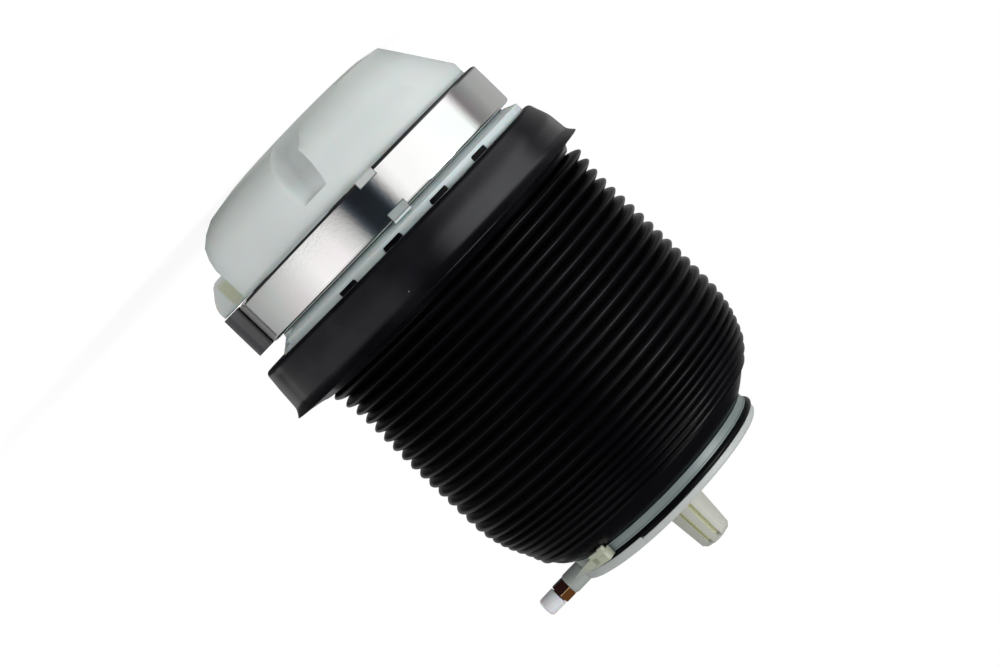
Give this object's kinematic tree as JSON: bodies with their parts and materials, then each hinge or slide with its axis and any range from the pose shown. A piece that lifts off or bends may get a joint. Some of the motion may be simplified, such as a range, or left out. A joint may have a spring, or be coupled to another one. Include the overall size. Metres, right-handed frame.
{
  "type": "air suspension spring",
  "caption": "Air suspension spring with rolling sleeve under a corrugated rubber gaiter, clamped plastic foot, fluted locating pin and side air fitting.",
  "frame": {"origin": "on the spring's axis, at the height of the foot's flat bottom face", "axes": "+Z along the spring's axis from the foot to the pin; the air fitting and the band's lock point to +X; the foot's scoop faces -Y"},
  "size_m": [0.193, 0.193, 0.286],
  "materials": {
    "foot_plastic": "milky unfilled nylon",
    "base_plastic": "milky unfilled nylon",
    "cover_plastic": "milky unfilled nylon",
    "black_plastic": "glass-filled nylon",
    "turned_steel": "turned",
    "zinc_steel": "zinc plated",
    "band_steel": "rolled sheet",
    "lock_steel": "dark grey coated",
    "collar_rubber": "satin",
    "gaiter_rubber": "satin",
    "sleeve_rubber": "matt, fabric reinforced",
    "seal_rubber": "smooth",
    "drawn_aluminium": "drawn",
    "stop_foam": "cellular",
    "tie_nylon": "translucent",
    "brass": "turned",
    "nut_brass": "aged, turned",
    "plug_plastic": "translucent white"
  },
  "bodies": {
    "foot": {"foot_pot": "foot_plastic", "thread_insert": "turned_steel", "foot_seal": "seal_rubber", "piston_base": "base_plastic", "roll_piston": "black_plastic", "piston_seal": "seal_rubber", "lower_crimp_ring": "zinc_steel", "clamp_band": "band_steel", "band_lock": "lock_steel", "dust_collar": "collar_rubber", "gaiter_clamp": "zinc_steel", "gaiter": "gaiter_rubber", "air_sleeve": "sleeve_rubber"},
    "top": {"top_cover": "cover_plastic", "outer_guide": "drawn_aluminium", "upper_crimp_ring": "zinc_steel", "bump_stop": "stop_foam", "stop_cup": "zinc_steel", "stop_screw": "zinc_steel", "cable_tie": "tie_nylon", "valve_body": "brass", "valve_flap": "seal_rubber", "line_oring": "seal_rubber"},
    "collet": {"line_collet": "brass"},
    "nut": {"union_nut": "nut_brass"},
    "plug": {"transport_plug": "plug_plastic"}
  },
  "joints": [
    {"name": "ride_stroke", "type": "slide", "parent": "foot", "child": "top", "axis": [0, 0, 1], "range_m": [-0.055, 0.01], "stiffness_N_per_m": 2400, "springref_m": 0.0018, "deforming": ["gaiter", "air_sleeve", "bump_stop"]},
    {"name": "collet_travel", "type": "slide", "parent": "top", "child": "collet", "axis": [1, 0, 0], "range_m": [0, 0.002]},
    {"name": "nut_turn", "type": "hinge", "parent": "collet", "child": "nut", "pos_m": [0.07, 0.02, 0.2528], "axis": [1, 0, 0], "range_deg": [0, 722]},
    {"name": "plug_pull", "type": "slide", "parent": "nut", "child": "plug", "axis": [1, 0, 0], "range_m": [0, 0.025]}
  ],
  "couplings": [
    {"joint": "nut_turn", "follows": "collet_travel", "rad_per_m": 6283.2}
  ]
}
